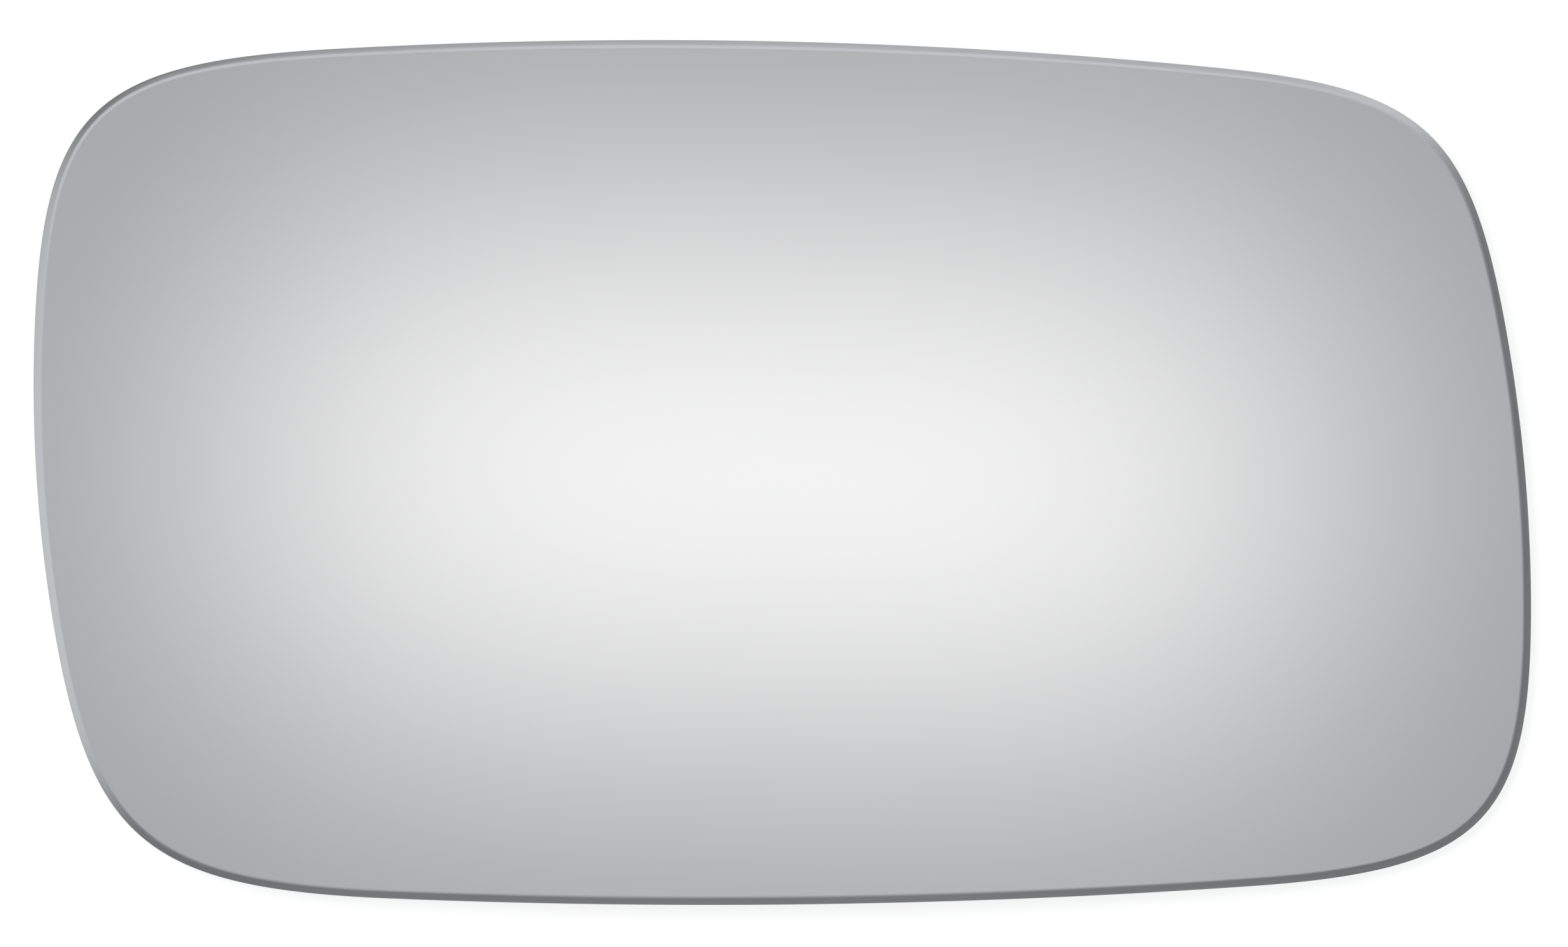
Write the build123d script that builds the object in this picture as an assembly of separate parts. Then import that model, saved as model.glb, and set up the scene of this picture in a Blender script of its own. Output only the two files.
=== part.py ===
from build123d import *

import os
from math import atan2, cos, degrees, hypot, sin, sqrt

# Replacement glass for a car's door mirror: one sheet of glass, cut to a crowned outline, bent to a
# shallow dome, silvered, and ground along its edge. It lies on its back with the mirror face up.
# Millimetres. +X runs along the longer side, +Y to the upper edge, and +Z out of the mirror face.
# The origin is the middle of the glass, at the level of the surface that it lies on.

# Overall size of the outline, seen square on
WIDTH = 178.0
HEIGHT = 102.7

# The sheet: its thickness, and the radius of the ball that its mirror face is part of
THICKNESS = 2.0
FACE_RADIUS = 1400.0

# Each side is a crowned arc. Its crest is where it touches the overall size, measured from the middle.
TOP_CREST = -15.5
BOTTOM_CREST = -9.0
LEFT_CREST = 10.5
RIGHT_CREST = -16.5
TOP_CROWN_RADIUS = 690.0
BOTTOM_CROWN_RADIUS = 950.0
LEFT_CROWN_RADIUS = 173.0
RIGHT_CROWN_RADIUS = 190.0

# Each corner is eased: it leaves both sides this far from the point where they would meet
TOP_RIGHT_SETBACK = 27.0
TOP_LEFT_SETBACK = 31.0
BOTTOM_LEFT_SETBACK = 32.0
BOTTOM_RIGHT_SETBACK = 31.0
# How far the corner curves are drawn towards that point: 0 is a straight cut, 1 the fullest corner
CORNER_FULLNESS = 0.83

# Edge work: the shallow bevel ground round the face, as its width on the face and its depth on the edge,
# the soft arris where it meets the face, and the seamed rear edge
BEVEL_WIDTH = 0.8
BEVEL_DEPTH = 0.24
ARRIS_RADIUS = 1.7
REAR_SEAM = 0.3


def side_circle(crest, inward, radius):
    """The circle that a crowned side lies on, as its centre and radius."""
    return Vector(crest) + Vector(inward) * radius, radius


def meeting_point(first, second, outward):
    """Where two side circles cross, at the crossing that lies furthest outward."""
    (first_centre, first_radius), (second_centre, second_radius) = first, second
    across = second_centre - first_centre
    along = (first_radius**2 - second_radius**2 + across.length**2) / (2 * across.length)
    aside = sqrt(first_radius**2 - along**2)
    foot = first_centre + across.normalized() * along
    reach = across.normalized().rotate(Axis.Z, 90) * aside
    return max((foot + reach, foot - reach), key=Vector(outward).dot)


def on_circle(circle, angle):
    """The point of a side circle at an angle in radians, and the way that the outline runs there."""
    centre, radius = circle
    return centre + Vector(cos(angle), sin(angle)) * radius, Vector(-sin(angle), cos(angle))


def angle_on(circle, point):
    """The angle in radians of a point, seen from the circle's centre."""
    way = point - circle[0]
    return atan2(way.Y, way.X)


def eased_corner(first, second, outward, setback):
    """A corner's curve, with the angles where it leaves the first side and joins the second.

    It is tangent to both sides. Its two inner handles lie along the tangents, a share of the way to where
    these cross.
    """
    corner = meeting_point(first, second, outward)
    leaves = angle_on(first, corner) - setback / first[1]
    joins = angle_on(second, corner) + setback / second[1]
    start, start_way = on_circle(first, leaves)
    end, end_way = on_circle(second, joins)
    chord = end - start
    turn = start_way.cross(end_way).Z
    peak = start + start_way * (chord.cross(end_way).Z / turn)
    start_handle = start + (peak - start) * CORNER_FULLNESS
    end_handle = end + (peak - end) * CORNER_FULLNESS
    return Bezier(start, start_handle, end_handle, end), leaves, joins


def glass_outline():
    """The outline of the glass, anticlockwise: four crowned sides with an eased corner after each."""
    right = side_circle((WIDTH / 2, RIGHT_CREST), (-1, 0), RIGHT_CROWN_RADIUS)
    top = side_circle((TOP_CREST, HEIGHT / 2), (0, -1), TOP_CROWN_RADIUS)
    left = side_circle((-WIDTH / 2, LEFT_CREST), (1, 0), LEFT_CROWN_RADIUS)
    bottom = side_circle((BOTTOM_CREST, -HEIGHT / 2), (0, 1), BOTTOM_CROWN_RADIUS)
    corners = [
        eased_corner(right, top, (1, 1), TOP_RIGHT_SETBACK),
        eased_corner(top, left, (-1, 1), TOP_LEFT_SETBACK),
        eased_corner(left, bottom, (-1, -1), BOTTOM_LEFT_SETBACK),
        eased_corner(bottom, right, (1, -1), BOTTOM_RIGHT_SETBACK),
    ]
    edges = []
    for number, (centre, radius) in enumerate((right, top, left, bottom)):
        side_start = degrees(corners[number - 1][2])
        curve, leaves, _ = corners[number]
        sweep = (degrees(leaves) - side_start) % 360
        edges += [CenterArc(centre, radius, side_start, sweep), curve]
    return Wire(edges)


def bent_blank():
    """The cut and bent sheet before edge work: the outline's column, between two balls with one centre."""
    rim_reach = hypot(WIDTH, HEIGHT) / 2
    dome_rise = FACE_RADIUS - sqrt(FACE_RADIUS**2 - rim_reach**2)
    depth = dome_rise + 2 * THICKNESS
    column = extrude(Pos(0, 0, -depth) * Face(glass_outline()), amount=depth + THICKNESS)
    # The balls are turned so that their poles and seams stay clear of the glass
    ball_place = Pos(0, 0, -FACE_RADIUS) * Rot(X=90)
    face_ball = ball_place * Sphere(FACE_RADIUS)
    back_ball = ball_place * Sphere(FACE_RADIUS - THICKNESS)
    return (column & face_ball) - back_ball


def ball_face(glass, side):
    """The mirror face (side -1, the highest face that is part of a ball) or the back (side 0)."""
    return glass.faces().filter_by(GeomType.SPHERE).sort_by(Axis.Z)[side]


def mirror_glass():
    """The finished glass: bevelled and softened round the face, seamed round the back, and set down."""
    glass = bent_blank()
    front = ball_face(glass, -1)
    glass = chamfer(front.edges(), BEVEL_WIDTH, BEVEL_DEPTH, reference=front)
    glass = fillet(ball_face(glass, -1).edges(), ARRIS_RADIUS)
    glass = chamfer(ball_face(glass, 0).edges(), REAR_SEAM)
    return Pos(0, 0, -glass.bounding_box().min.Z) * glass


os.makedirs("parts", exist_ok=True)
export_step(mirror_glass(), "parts/mirror_glass.step")
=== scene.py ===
import bpy
import numpy as np
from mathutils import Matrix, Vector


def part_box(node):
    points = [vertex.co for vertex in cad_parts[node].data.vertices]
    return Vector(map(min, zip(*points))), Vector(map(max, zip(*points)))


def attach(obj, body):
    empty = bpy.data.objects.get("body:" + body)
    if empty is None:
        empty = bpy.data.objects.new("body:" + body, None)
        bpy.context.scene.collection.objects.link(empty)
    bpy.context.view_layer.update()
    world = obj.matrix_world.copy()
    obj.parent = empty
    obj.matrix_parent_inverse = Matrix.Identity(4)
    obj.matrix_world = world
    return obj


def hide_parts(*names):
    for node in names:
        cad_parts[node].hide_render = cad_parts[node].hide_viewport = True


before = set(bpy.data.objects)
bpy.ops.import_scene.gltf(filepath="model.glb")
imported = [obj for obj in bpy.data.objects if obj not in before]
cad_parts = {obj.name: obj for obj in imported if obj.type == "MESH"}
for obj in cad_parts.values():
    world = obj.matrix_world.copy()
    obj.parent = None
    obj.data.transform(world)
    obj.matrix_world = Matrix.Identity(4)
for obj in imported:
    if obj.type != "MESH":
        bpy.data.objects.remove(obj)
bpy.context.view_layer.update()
scene = bpy.context.scene
scene.view_settings.view_transform = "Standard"

# Mirror glass
# One sheet of glass, cut to a crowned outline and bent over a mould to a shallow dome. It is silvered and
# painted on the back, and its edge is ground, with a bevel round the face. Its back is bonded to a plate.
MM = 0.001
THICKNESS = 2.0 * MM
FACE_RADIUS = 1400 * MM
low_corner, high_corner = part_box("mirror_glass")
half_width = (high_corner.x - low_corner.x) / 2
half_height = (high_corner.y - low_corner.y) / 2

# Each side is a crowned arc, which touches the overall size at its crest. A point of the outline is a
# complex number, X + Y * 1j, so the outward way from the middle is 1 to the right and 1j to the top.
TOP_CREST = -15.5 * MM
BOTTOM_CREST = -9.0 * MM
LEFT_CREST = 10.5 * MM
RIGHT_CREST = -16.5 * MM
TOP_CROWN_RADIUS = 690 * MM
BOTTOM_CROWN_RADIUS = 950 * MM
LEFT_CROWN_RADIUS = 173 * MM
RIGHT_CROWN_RADIUS = 190 * MM
TOP_RIGHT_SETBACK = 27 * MM
TOP_LEFT_SETBACK = 31 * MM
BOTTOM_LEFT_SETBACK = 32 * MM
BOTTOM_RIGHT_SETBACK = 31 * MM
CORNER_FULLNESS = 0.83
POINTS_ON_LONG_SIDE = 130
POINTS_ON_SHORT_SIDE = 60
POINTS_ON_CORNER = 84


def crowned_side(crest, outward, radius, points):
    """A side's circle, as its centre, its radius and its number of points: the centre is a radius inward."""
    return crest - outward * radius, radius, points


def on_circle(circle, angle):
    """The centre plus the radius turned to an angle, and the way the circle runs there, square to it."""
    centre, radius, _ = circle
    spoke = np.exp(1j * angle)
    return centre + radius * spoke, 1j * spoke


def outer_crossing(first, second, outward):
    """Where two circles cross, on the outward side: along the line of centres, then square to it."""
    (first_centre, first_radius, _), (second_centre, second_radius, _) = first, second
    apart = second_centre - first_centre
    along = (first_radius**2 - second_radius**2 + abs(apart) ** 2) / (2 * abs(apart))
    aside = np.sqrt(first_radius**2 - along**2) * np.array([1, -1])
    crossings = first_centre + apart / abs(apart) * (along + 1j * aside)
    return crossings[np.argmax((crossings * np.conj(outward)).real)]


def side_points(circle, start_angle, end_angle):
    """A side's arc, anticlockwise, at even angles from the start, up to but without the end."""
    points = circle[2]
    sweep = (end_angle - start_angle) % (2 * np.pi)
    return on_circle(circle, start_angle + sweep * np.arange(points) / points)


def corner_points(start, start_way, end, end_way):
    """A corner: the cubic Bezier curve that is tangent to both sides, and the way it runs at each point.

    Each inner handle lies on one side's tangent, a share of the way to where the two tangents cross.
    """
    reach = (np.conj(end - start) * end_way).imag / (np.conj(start_way) * end_way).imag
    peak = start + start_way * reach
    start_handle = start + (peak - start) * CORNER_FULLNESS
    end_handle = end + (peak - end) * CORNER_FULLNESS
    first_leg, middle_leg, last_leg = start_handle - start, end_handle - start_handle, end - end_handle
    s = np.arange(POINTS_ON_CORNER) / POINTS_ON_CORNER
    rest = 1 - s
    curve = rest**3 * start + 3 * rest**2 * s * start_handle + 3 * rest * s**2 * end_handle + s**3 * end
    slope = rest**2 * first_leg + 2 * rest * s * middle_leg + s**2 * last_leg
    return curve, slope / abs(slope)


def glass_outline():
    """The closed outline, anticlockwise, and its outward normals: four sides, each with a corner after it.

    A side ends short of where it would cross the next one, by the corner's setback along its arc.
    """
    right = crowned_side(half_width + RIGHT_CREST * 1j, 1, RIGHT_CROWN_RADIUS, POINTS_ON_SHORT_SIDE)
    top = crowned_side(TOP_CREST + half_height * 1j, 1j, TOP_CROWN_RADIUS, POINTS_ON_LONG_SIDE)
    left = crowned_side(-half_width + LEFT_CREST * 1j, -1, LEFT_CROWN_RADIUS, POINTS_ON_SHORT_SIDE)
    bottom = crowned_side(BOTTOM_CREST - half_height * 1j, -1j, BOTTOM_CROWN_RADIUS, POINTS_ON_LONG_SIDE)
    sides = [right, top, left, bottom]
    next_sides = [top, left, bottom, right]
    setbacks = [TOP_RIGHT_SETBACK, TOP_LEFT_SETBACK, BOTTOM_LEFT_SETBACK, BOTTOM_RIGHT_SETBACK]
    outwards = [1 + 1j, -1 + 1j, -1 - 1j, 1 - 1j]
    leaves, joins = [], []
    for side, next_side, setback, outward in zip(sides, next_sides, setbacks, outwards):
        crossing = outer_crossing(side, next_side, outward)
        leaves.append(np.angle(crossing - side[0]) - setback / side[1])
        joins.append(np.angle(crossing - next_side[0]) + setback / next_side[1])
    points, ways = [], []
    for number, (side, next_side) in enumerate(zip(sides, next_sides)):
        arc, arc_ways = side_points(side, joins[number - 1], leaves[number])
        corner_ends = [*on_circle(side, leaves[number]), *on_circle(next_side, joins[number])]
        corner, corner_ways = corner_points(*corner_ends)
        points += [arc, corner]
        ways += [arc_ways, corner_ways]
    return np.concatenate(points), -1j * np.concatenate(ways)


# The edge's section runs from the face, over the bevel and down the ground edge, to the back. A point of it
# is inset + depth * 1j: how far it lies in from the outline, and how far below the face's ball.
BEVEL_WIDTH = 0.8 * MM
BEVEL_DEPTH = 0.24 * MM
ARRIS_RADIUS = 1.7 * MM
REAR_SEAM = 0.3 * MM
BROKEN_CORNER_RADIUS = 0.03 * MM
FACE_MARGIN = 1.1 * MM
ARC_STEPS = 9


def edge_section():
    """The section's points, in order, and the number of the first point of each of its rounded corners.

    A corner's arc starts a tangent length before it, which is the radius times the tangent of half the turn,
    and turns from the way in to the way out.
    """
    corners = np.array([
        FACE_MARGIN,
        BEVEL_WIDTH,
        BEVEL_DEPTH * 1j,
        (THICKNESS - REAR_SEAM) * 1j,
        REAR_SEAM + THICKNESS * 1j,
        FACE_MARGIN + THICKNESS * 1j,
    ])
    radii = [ARRIS_RADIUS, BROKEN_CORNER_RADIUS, BROKEN_CORNER_RADIUS, BROKEN_CORNER_RADIUS]
    ways = np.diff(corners) / abs(np.diff(corners))
    arcs = []
    for corner, way_in, way_out, radius in zip(corners[1:-1], ways[:-1], ways[1:], radii):
        turn = np.angle(way_out / way_in)
        angles = np.linspace(0, abs(turn), ARC_STEPS)
        arc = np.sin(angles) + 1j * np.sign(turn) * (1 - np.cos(angles))
        arcs.append(corner + way_in * radius * (arc - np.tan(abs(turn) / 2)))
    arc_starts = 1 + ARC_STEPS * np.arange(len(arcs))
    return np.concatenate([corners[:1], *arcs, corners[-1:]]), arc_starts


FACE_RINGS = 26
BACK_RINGS = 18
INNER_RING_SHARE = 0.03
SILVERED_FACE, GROUND_BEVEL, GROUND_EDGE, PAINTED_BACK = range(4)


def closed(grid):
    """A grid of rings by columns, with its first column once more after its last."""
    return np.concatenate([grid, grid[:, :1]], axis=1)


def band_corners(grid):
    """What a closed grid holds at the four corners of each face between its rings, anticlockwise."""
    return np.stack([grid[:-1, :-1], grid[1:, :-1], grid[1:, 1:], grid[:-1, 1:]], axis=2)


def fan_corners(pole, ring):
    """What a pole and a closed ring hold at the three corners of each face between them."""
    return np.stack([np.full(len(ring) - 1, pole), ring[:-1], ring[1:]], axis=1)


# The map for baking the finishes on, with U + V * 1j for a point. The face and the back stand
# upright on it, side by side, and the bevel and the ground edge are one strip below them.
MAP_NAME = "OFBake"
MAP_PER_METRE = 4.72
FACE_ON_MAP = 0.2525 + 0.556j
BACK_ON_MAP = 0.7475 + 0.556j
STRIP_START = 0.01 + 0.11j
STRIP_LENGTH = 0.98
STRIP_WIDTH = 0.10


def map_corners(rings, runs, band_finishes):
    """The place on the map of each corner of each face: of the bands, then of the two fans.

    A point of the face or the back goes by its X and Y, scaled and turned, and the back's is mirrored too. A
    point of the strip goes along it by its column, and across it by its edge run.
    """
    around = rings.shape[1]
    face = FACE_ON_MAP + MAP_PER_METRE * 1j * closed(rings)
    back = BACK_ON_MAP + MAP_PER_METRE * 1j * closed(np.conj(rings))
    strip_rings = np.searchsorted(band_finishes, [GROUND_BEVEL, PAINTED_BACK])
    run_start, run_end = runs[strip_rings]
    across = (runs[:, None] - run_start) / (run_end - run_start)
    along = np.arange(around + 1) / around
    strip = STRIP_START + STRIP_LENGTH * along - 1j * STRIP_WIDTH * across
    finish = band_finishes[:, None, None]
    face_or_back = np.where(finish == SILVERED_FACE, band_corners(face), band_corners(back))
    on_strip = (finish == GROUND_BEVEL) | (finish == GROUND_EDGE)
    bands = np.where(on_strip, band_corners(strip), face_or_back)
    fans = [fan_corners(FACE_ON_MAP, face[0]), fan_corners(BACK_ON_MAP, back[-1, ::-1])]
    return np.concatenate([bands.ravel(), *[fan.ravel() for fan in fans]])


def glass_mesh():
    """The whole glass as rings of points, from the middle of the face, round the edge, to the back's middle.

    A ring at the edge is the outline moved in by the section's inset. A ring on the face or the back is the
    nearest of those, drawn in towards the middle. Each point lies on the ball of its ring's depth, so its
    height is the square root of the ball's radius squared less its distance from the middle squared.
    """
    outline, normals = glass_outline()
    section, arc_starts = edge_section()
    edge_rings = outline - section.real[:, None] * normals
    face_shares = np.linspace(INNER_RING_SHARE, 1, FACE_RINGS, endpoint=False)[:, None]
    back_shares = np.linspace(1, INNER_RING_SHARE, BACK_RINGS + 1)[1:, None]
    rings = np.concatenate([face_shares * edge_rings[0], edge_rings, back_shares * edge_rings[-1]])
    depths = np.concatenate([np.zeros(FACE_RINGS), section.imag, np.full(BACK_RINGS, THICKNESS)])
    heights = np.sqrt((FACE_RADIUS - depths[:, None]) ** 2 - abs(rings) ** 2)
    lift = low_corner.z - heights.min()
    ring_points = np.stack([rings.real, rings.imag, heights + lift], axis=2).reshape(-1, 3)
    poles = np.array([[0, 0, FACE_RADIUS + lift], [0, 0, FACE_RADIUS - THICKNESS + lift]])
    points = np.concatenate([ring_points, poles])

    ring_count, around = rings.shape
    numbers = closed(np.arange(rings.size).reshape(rings.shape))
    bands = band_corners(numbers).reshape(-1, 4)
    face_fan = fan_corners(rings.size, numbers[0])
    back_fan = fan_corners(rings.size + 1, numbers[-1, ::-1])
    mesh = bpy.data.meshes.new("door_mirror_glass")
    mesh.from_pydata(points, [], bands.tolist() + face_fan.tolist() + back_fan.tolist())
    mesh.shade_smooth()

    # The distance across the edge, from the face's margin
    edge_run = np.concatenate([[0], np.cumsum(abs(np.diff(section)))])
    runs = np.concatenate([np.zeros(FACE_RINGS), edge_run, np.full(BACK_RINGS, edge_run[-1])])
    point_runs = np.concatenate([np.repeat(runs, around), [0, edge_run[-1]]])
    mesh.attributes.new("edge_run", "FLOAT", "POINT").data.foreach_set("value", point_runs)

    # The finishes, from the first band of each
    bevel_start = FACE_RINGS + arc_starts[0]
    edge_start = FACE_RINGS + arc_starts[1] + ARC_STEPS // 2
    back_start = FACE_RINGS + arc_starts[3] + ARC_STEPS // 2
    first_bands = [bevel_start, edge_start, back_start]
    band_finishes = np.searchsorted(first_bands, np.arange(ring_count - 1), side="right")
    finishes = np.repeat([*band_finishes, SILVERED_FACE, PAINTED_BACK], around)
    mesh.polygons.foreach_set("material_index", finishes.astype(np.int32))

    corners = map_corners(rings, runs, band_finishes)
    mesh.uv_layers.new(name=MAP_NAME).uv.foreach_set("vector", corners.view(float))
    mesh.update()
    return mesh


# The patterns in the finishes. Noise seldom leaves the range from low to high, so that becomes 0 to 1.
NOISE_LOW = 0.3
NOISE_HIGH = 0.7
HAZE_DETAIL = 4.0
LINE_DETAIL = 2.0
LINE_LENGTHS_PER_METRE = 90


def set_input(tree, socket, value):
    """Gives an input its value, or links it where the value is another node's output."""
    if isinstance(value, bpy.types.NodeSocket):
        tree.links.new(value, socket)
    else:
        socket.default_value = value


def add_node(tree, kind, **inputs):
    """A new node of a kind. Its inputs are given by name, with an underscore for a space."""
    node = tree.nodes.new(kind)
    for name, value in inputs.items():
        set_input(tree, node.inputs[name.replace("_", " ")], value)
    return node


def add_product(tree, first, second):
    """One value times another."""
    node = tree.nodes.new("ShaderNodeMath")
    node.operation = "MULTIPLY"
    set_input(tree, node.inputs[0], first)
    set_input(tree, node.inputs[1], second)
    return node.outputs["Value"]


def add_range(tree, mask, low, high):
    """A value that runs from low to high as the mask runs from 0 to 1."""
    return add_node(tree, "ShaderNodeMapRange", Value=mask, To_Min=low, To_Max=high).outputs["Result"]


def add_noise(tree, place, scale, detail):
    """Noise at a place, as a mask from 0 to 1."""
    noise = add_node(tree, "ShaderNodeTexNoise", Vector=place, Scale=scale, Detail=detail).outputs["Fac"]
    mask = add_node(tree, "ShaderNodeMapRange", Value=noise, From_Min=NOISE_LOW, From_Max=NOISE_HIGH)
    return mask.outputs["Result"]


def new_pattern(name, count_name):
    """A node group for a pattern, with its two inputs inside: a count per metre, and Object coordinates.

    It puts out a mask.
    """
    group = bpy.data.node_groups.new(name, "ShaderNodeTree")
    group.interface.new_socket(count_name, in_out="INPUT", socket_type="NodeSocketFloat")
    group.interface.new_socket("Mask", in_out="OUTPUT", socket_type="NodeSocketFloat")
    count = group.nodes.new("NodeGroupInput").outputs[count_name]
    place = group.nodes.new("ShaderNodeTexCoord").outputs["Object"]
    return group, count, place


def haze_pattern():
    """Soft clouds, as wiping or spraying leaves them: noise on Object coordinates."""
    group, clouds_per_metre, place = new_pattern("surface_haze", "Clouds per metre")
    add_node(group, "NodeGroupOutput", Mask=add_noise(group, place, clouds_per_metre, HAZE_DETAIL))
    return group


def grinding_pattern():
    """Fine lines that a grinding belt leaves along the edge: noise, long along it and narrow across it.

    The noise is read at X and Y, counted in line lengths, and at the distance across the edge, which is the
    attribute edge_run, counted in lines.
    """
    group, lines_per_metre, place = new_pattern("grinding_lines", "Lines per metre")
    plan = add_node(group, "ShaderNodeSeparateXYZ", Vector=place)
    edge_run = group.nodes.new("ShaderNodeAttribute")
    edge_run.attribute_name = "edge_run"
    spot = add_node(
        group,
        "ShaderNodeCombineXYZ",
        X=add_product(group, plan.outputs["X"], LINE_LENGTHS_PER_METRE),
        Y=add_product(group, plan.outputs["Y"], LINE_LENGTHS_PER_METRE),
        Z=add_product(group, edge_run.outputs["Fac"], lines_per_metre),
    )
    add_node(group, "NodeGroupOutput", Mask=add_noise(group, spot.outputs["Vector"], 1.0, LINE_DETAIL))
    return group


def new_finish(name, pattern, per_metre, colours, roughness, relief=None):
    """A material and its shader. Colour and roughness run from their first to their second with a pattern.

    The pattern also raises the surface, by up to the relief, as a bump on the shader's normal.
    """
    material = bpy.data.materials.new(name)
    material.use_nodes = True
    tree = material.node_tree
    shader = tree.nodes["Principled BSDF"]
    placed = tree.nodes.new("ShaderNodeGroup")
    placed.node_tree = pattern
    placed.inputs[0].default_value = per_metre
    mask = placed.outputs["Mask"]
    ramp = add_node(tree, "ShaderNodeValToRGB", Fac=mask)
    for element, colour in zip(ramp.color_ramp.elements, colours):
        element.color = (*colour, 1)
    tree.links.new(ramp.outputs["Color"], shader.inputs["Base Color"])
    tree.links.new(add_range(tree, mask, *roughness), shader.inputs["Roughness"])
    if relief:
        bump = add_node(tree, "ShaderNodeBump", Height=mask, Distance=relief)
        tree.links.new(bump.outputs["Normal"], shader.inputs["Normal"])
    return material, shader


surface_haze = haze_pattern()
grinding_lines = grinding_pattern()

# Silvered face: a bright film under clear, polished glass, wiped clean
WIPED_CLOUDS_PER_METRE = 45
SILVER_COLOURS = (0.868, 0.869, 0.870), (0.874, 0.875, 0.876)
SILVER_ROUGHNESS = 0.02, 0.05
GLASS_IOR = 1.52
silver, shader = new_finish(
    "silvered_face", surface_haze, WIPED_CLOUDS_PER_METRE, SILVER_COLOURS, SILVER_ROUGHNESS
)
shader.inputs["Metallic"].default_value = 1.0
shader.inputs["Coat Weight"].default_value = 1.0
shader.inputs["Coat Roughness"].default_value = 0.0
shader.inputs["Coat IOR"].default_value = GLASS_IOR

# Ground bevel: the same film under a fine-ground, half-polished surface
BEVEL_LINES_PER_METRE = 9000
BEVEL_COLOURS = (0.857, 0.860, 0.855), (0.893, 0.895, 0.890)
BEVEL_ROUGHNESS = 0.12, 0.22
BEVEL_RELIEF = 0.0004 * MM
bevel, shader = new_finish(
    "ground_bevel", grinding_lines, BEVEL_LINES_PER_METRE, BEVEL_COLOURS, BEVEL_ROUGHNESS, BEVEL_RELIEF
)
shader.inputs["Metallic"].default_value = 1.0

# Ground edge: bare frosted glass, a little green in its depth
EDGE_LINES_PER_METRE = 7000
EDGE_COLOURS = (0.34, 0.43, 0.405), (0.46, 0.54, 0.515)
EDGE_ROUGHNESS = 0.38, 0.60
EDGE_RELIEF = 0.002 * MM
edge, _ = new_finish(
    "ground_edge", grinding_lines, EDGE_LINES_PER_METRE, EDGE_COLOURS, EDGE_ROUGHNESS, EDGE_RELIEF
)

# Painted back: grey lacquer over the film, with the fine peel that a spray gun leaves
PEEL_PER_METRE = 800
PAINT_COLOURS = (0.160, 0.168, 0.176), (0.184, 0.192, 0.200)
PAINT_ROUGHNESS = 0.34, 0.44
PAINT_RELIEF = 0.015 * MM
paint, _ = new_finish(
    "back_lacquer", surface_haze, PEEL_PER_METRE, PAINT_COLOURS, PAINT_ROUGHNESS, PAINT_RELIEF
)

glass = bpy.data.objects.new("door_mirror_glass", glass_mesh())
for finish in (silver, bevel, edge, paint):
    glass.data.materials.append(finish)
scene.collection.objects.link(glass)
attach(glass, "root")
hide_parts("mirror_glass")

# Table
# A white table top that the glass lies on. It glows a little under white for the camera and in reflections,
# and the light on it makes up the rest, so that the glass still casts a shadow on it.
STUDIO_RADIUS = 6.0
TABLE_GLOW = 0.82
TABLE_COLOUR = 0.235, 0.235, 0.235, 1

table_mesh = bpy.data.meshes.new("table")
table_corners = STUDIO_RADIUS * np.array([[-1, -1, 0], [1, -1, 0], [1, 1, 0], [-1, 1, 0]])
table_mesh.from_pydata(table_corners, [], [(0, 1, 2, 3)])
table_white = bpy.data.materials.new("table_white")
table_white.use_nodes = True
tree = table_white.node_tree
tree.nodes.clear()
glow = add_node(tree, "ShaderNodeEmission", Strength=TABLE_GLOW)
lit = add_node(tree, "ShaderNodeBsdfDiffuse", Color=TABLE_COLOUR)
top_side = tree.nodes.new("ShaderNodeAddShader")
tree.links.new(glow.outputs["Emission"], top_side.inputs[0])
tree.links.new(lit.outputs["BSDF"], top_side.inputs[1])
# From below, the table is clear, so that the back of the glass can be looked at
under_side = tree.nodes.new("ShaderNodeBsdfTransparent")
from_below = tree.nodes.new("ShaderNodeNewGeometry").outputs["Backfacing"]
two_sided = add_node(tree, "ShaderNodeMixShader", Fac=from_below)
tree.links.new(top_side.outputs["Shader"], two_sided.inputs[1])
tree.links.new(under_side.outputs["BSDF"], two_sided.inputs[2])
add_node(tree, "ShaderNodeOutputMaterial", Surface=two_sided.outputs["Shader"])
table_mesh.materials.append(table_white)
table = bpy.data.objects.new("table", table_mesh)
# It sends no light to dull surfaces, and it lets the light from below through
table.visible_diffuse = False
table.visible_shadow = False
scene.collection.objects.link(table)

# Studio
# The room round the table, as a dome that gives light and is seen in the mirror: a white cove that rises
# from the table and darkens upwards, a dim room with lit walls, and a pale ceiling with a lamp bank.
COVE_FOOT = 0.78
COVE_HEAD = 0.36
COVE_EDGE = 37, 42
ROOM = 0.172
CEILING = 0.40
CEILING_EDGE = 59, 78
ROOM_TINT = 0.985, 1.0, 1.045
# The glow of each wall and of the dim corner, then its azimuths and elevations in degrees: it starts to show
# at the first, is full from the second to the third, and is gone at the last. Azimuth runs anticlockwise
# from the right.
CORNER_WALL = 0.60, (18, 54, 60, 94), (0, 1, 58, 78)
BACK_WALL = 0.465, (30, 75, 86, 118), (0, 1, 58, 78)
BACK_WALL_TOP = 0.63, (50, 78, 100, 116), (41, 58, 77, 84)
LEFT_WALL = 0.62, (132, 186, 192, 222), (0, 1, 64, 80)
FRONT_WALL = 0.21, (244, 266, 274, 296), (0, 1, 58, 78)
UPPER_WALL = 0.59, (0, 68, 150, 240), (44, 59, 75, 80)
DIM_CORNER = ROOM, (282, 292, 328, 348), (0, 1, 68, 79)
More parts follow.
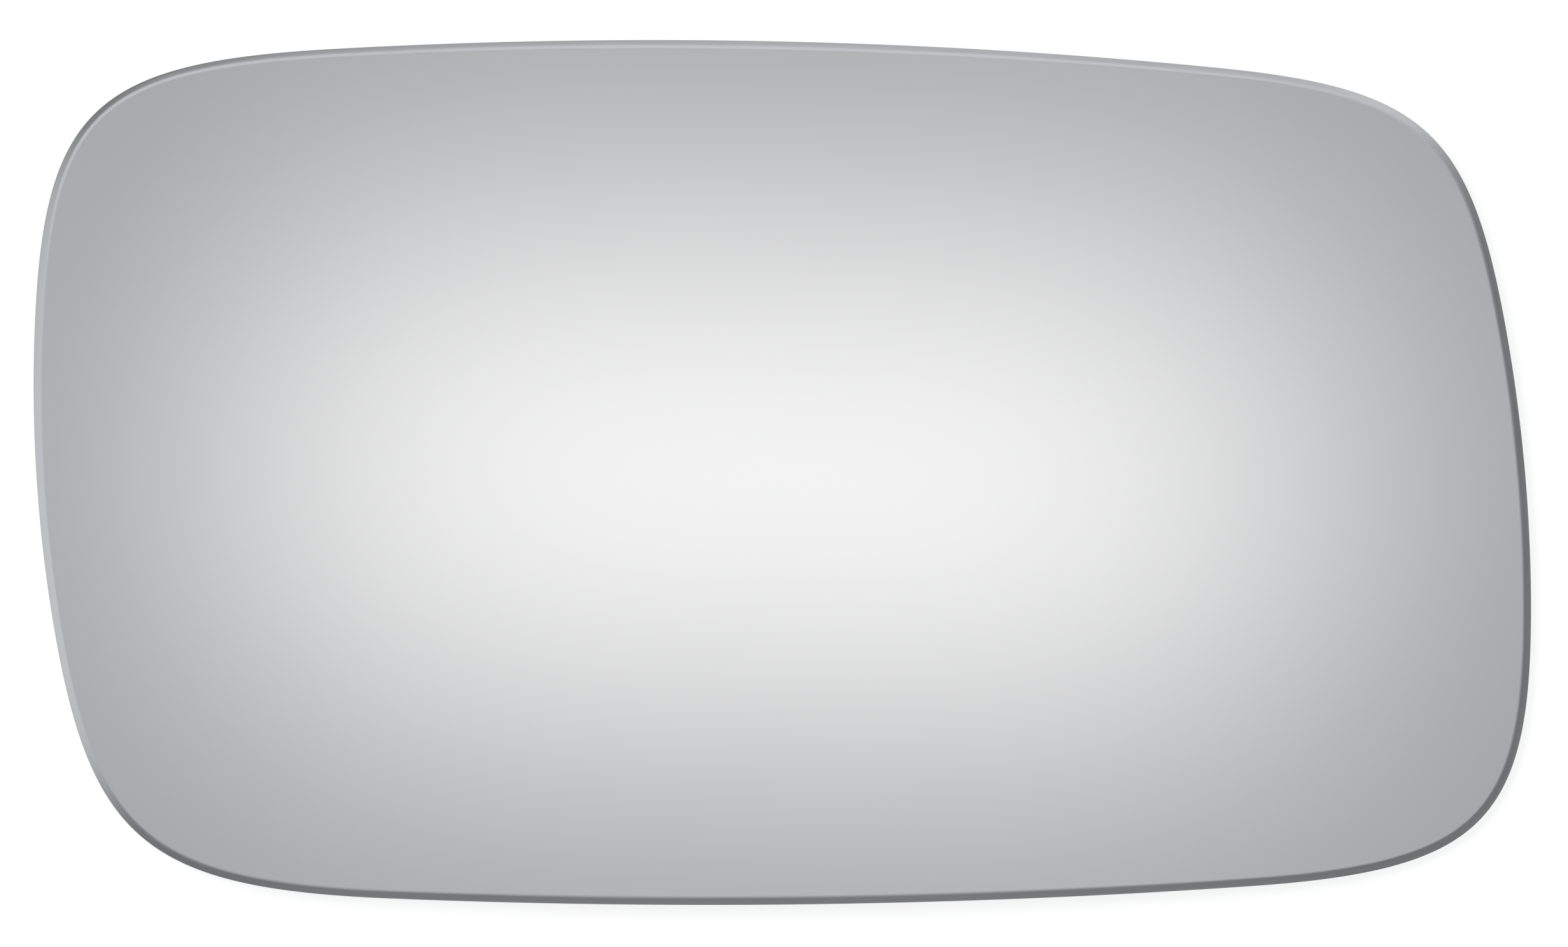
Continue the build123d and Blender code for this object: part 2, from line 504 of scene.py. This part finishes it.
# The lamp bank lies in the plane of the dome's top. Its middle is X + Y * 1j.
LAMP = 0.617
LAMP_TINT = 1.012, 1.0, 0.973
LAMP_MIDDLE = -0.012 - 0.003j
LAMP_TURN = np.radians(-1.4)
LAMP_HALF_SIZE = 0.889, 0.486
LAMP_SHARPNESS = 3.2, 2.0
DOME_RINGS = 160
DOME_SPOKES = 180
FIRST_RING_SHARE = 0.002
LOWEST_RISE = 0.001


def ease(value, low, high):
    """0 up to low and 1 from high, with the curve 3 t squared less 2 t cubed between them."""
    t = np.clip((value - low) / (high - low), 0, 1)
    return t**2 * (3 - 2 * t)


def soft_band(value, edges):
    """Eases from 0 to 1 between the first two edges, and back to 0 between the last two."""
    return ease(value, *edges[:2]) * (1 - ease(value, *edges[2:]))


def with_wall(room, wall, elevation, azimuth):
    """The room blended towards a wall's glow by the wall's share, the product of its two soft bands."""
    glow, azimuths, elevations = wall
    share = soft_band(azimuth, azimuths) * soft_band(elevation, elevations)
    return room + (glow - room) * share


def studio_glow(elevation, azimuth, overhead):
    """The studio's colours, by elevation and azimuth in degrees and by place in the plane of the dome's top.

    The bare room lightens upwards to the ceiling, and only higher up in its dim corner. Each wall is blended
    over it, the brightest counts, and the cove comes in front, whose glow falls in proportion to elevation.
    The lamp bank is added: it fades from its middle as the exponential of minus the distance to a power,
    along it and across it.
    """
    bare_room = ROOM + (CEILING - ROOM) * ease(elevation, *CEILING_EDGE)
    bare_room = with_wall(bare_room, DIM_CORNER, elevation, azimuth)
    room = bare_room
    for wall in (CORNER_WALL, BACK_WALL, BACK_WALL_TOP, LEFT_WALL, FRONT_WALL, UPPER_WALL):
        room = np.maximum(room, with_wall(bare_room, wall, elevation, azimuth))
    cove = COVE_FOOT + (COVE_HEAD - COVE_FOOT) * elevation / COVE_EDGE[0]
    above_cove = ease(elevation, *COVE_EDGE)
    from_lamp = (overhead - LAMP_MIDDLE) * np.exp(-1j * LAMP_TURN)
    along = abs(from_lamp.real / LAMP_HALF_SIZE[0]) ** LAMP_SHARPNESS[0]
    across = abs(from_lamp.imag / LAMP_HALF_SIZE[1]) ** LAMP_SHARPNESS[1]
    lamp = LAMP * np.exp(-along - across)
    tinted = (room * above_cove)[..., None] * ROOM_TINT + lamp[..., None] * LAMP_TINT
    return tinted + (cove * (1 - above_cove))[..., None]


def studio_dome():
    """The upper half of a ball, in rings of one elevation, with its glow as an attribute.

    The rings close up towards the top, where the lamp bank is: a ring's angle from the top goes as the
    square of its number.
    """
    ring_elevations = 90 * (1 - np.linspace(FIRST_RING_SHARE, 1, DOME_RINGS)[:, None] ** 2)
    spoke_azimuths = 360 * np.arange(DOME_SPOKES) / DOME_SPOKES
    elevation, azimuth = np.broadcast_arrays(ring_elevations, spoke_azimuths)
    level = np.cos(np.radians(elevation)) * np.exp(1j * np.radians(azimuth))
    rise = np.sin(np.radians(elevation))
    overhead = STUDIO_RADIUS * level / np.maximum(rise, LOWEST_RISE)
    points = STUDIO_RADIUS * np.stack([level.real, level.imag, rise], axis=2).reshape(-1, 3)
    here = np.arange(DOME_SPOKES)
    after = (here + 1) % DOME_SPOKES
    upper = DOME_SPOKES * np.arange(DOME_RINGS - 1)[:, None]
    lower = upper + DOME_SPOKES
    faces = np.stack([upper + here, upper + after, lower + after, lower + here], axis=2)
    mesh = bpy.data.meshes.new("studio")
    mesh.from_pydata(points, [], faces.reshape(-1, 4).tolist())
    colours = studio_glow(elevation, azimuth, overhead)
    mesh.attributes.new("glow", "FLOAT_VECTOR", "POINT").data.foreach_set("vector", colours.ravel())
    return mesh


studio_light = bpy.data.materials.new("studio_light")
studio_light.use_nodes = True
studio_light.cycles.emission_sampling = "NONE"
tree = studio_light.node_tree
tree.nodes.clear()
glow = tree.nodes.new("ShaderNodeAttribute")
glow.attribute_name = "glow"
light = add_node(tree, "ShaderNodeEmission", Color=glow.outputs["Vector"])
add_node(tree, "ShaderNodeOutputMaterial", Surface=light.outputs["Emission"])
studio = bpy.data.objects.new("studio", studio_dome())
studio.data.materials.append(studio_light)
studio.visible_camera = False
studio.visible_shadow = False
scene.collection.objects.link(studio)

# Backdrop
# Plain white all round. It stands behind the glass in every view, since the camera doesn't see the studio,
# and it lights the back of the glass from below.
BACKDROP_COLOUR = 1, 1, 1, 1
scene.world = bpy.data.worlds.new("backdrop")
scene.world.use_nodes = True
scene.world.node_tree.nodes["Background"].inputs["Color"].default_value = BACKDROP_COLOUR

# Window
# Broad light from the upper left, through a wide window that the mirror doesn't show. It gives the soft
# shadow below the glass and to its right.
WINDOW_ENERGY = 1.4
WINDOW_BREADTH = np.radians(25)
WINDOW_TILT = np.radians([-16, -24, 0])
window_light = bpy.data.lights.new("window", "SUN")
window_light.energy = WINDOW_ENERGY
window_light.angle = WINDOW_BREADTH
window = bpy.data.objects.new("window", window_light)
window.rotation_euler = WINDOW_TILT
window.visible_glossy = False
scene.collection.objects.link(window)

# Camera
# Square above the glass and far off, for a flat view. The place and the width of the glass in the photo, in
# pixels, give where the camera stands and how high.
PHOTO_WIDTH = 2464
PHOTO_HEIGHT = 1488
GLASS_WIDTH_IN_PHOTO = 2353.7
GLASS_MIDDLE_IN_PHOTO = 1229.4, 742.4
LENS = 400.0
SENSOR = 36.0
RIM_HEIGHT = 2.2 * MM
pixel_size = 2 * half_width / GLASS_WIDTH_IN_PHOTO
camera_lens = bpy.data.cameras.new("camera")
camera_lens.lens = LENS
camera_lens.sensor_width = SENSOR
camera = bpy.data.objects.new("camera", camera_lens)
camera.location = (
    (PHOTO_WIDTH / 2 - GLASS_MIDDLE_IN_PHOTO[0]) * pixel_size,
    (GLASS_MIDDLE_IN_PHOTO[1] - PHOTO_HEIGHT / 2) * pixel_size,
    RIM_HEIGHT + PHOTO_WIDTH * pixel_size * LENS / SENSOR,
)
scene.collection.objects.link(camera)
scene.camera = camera
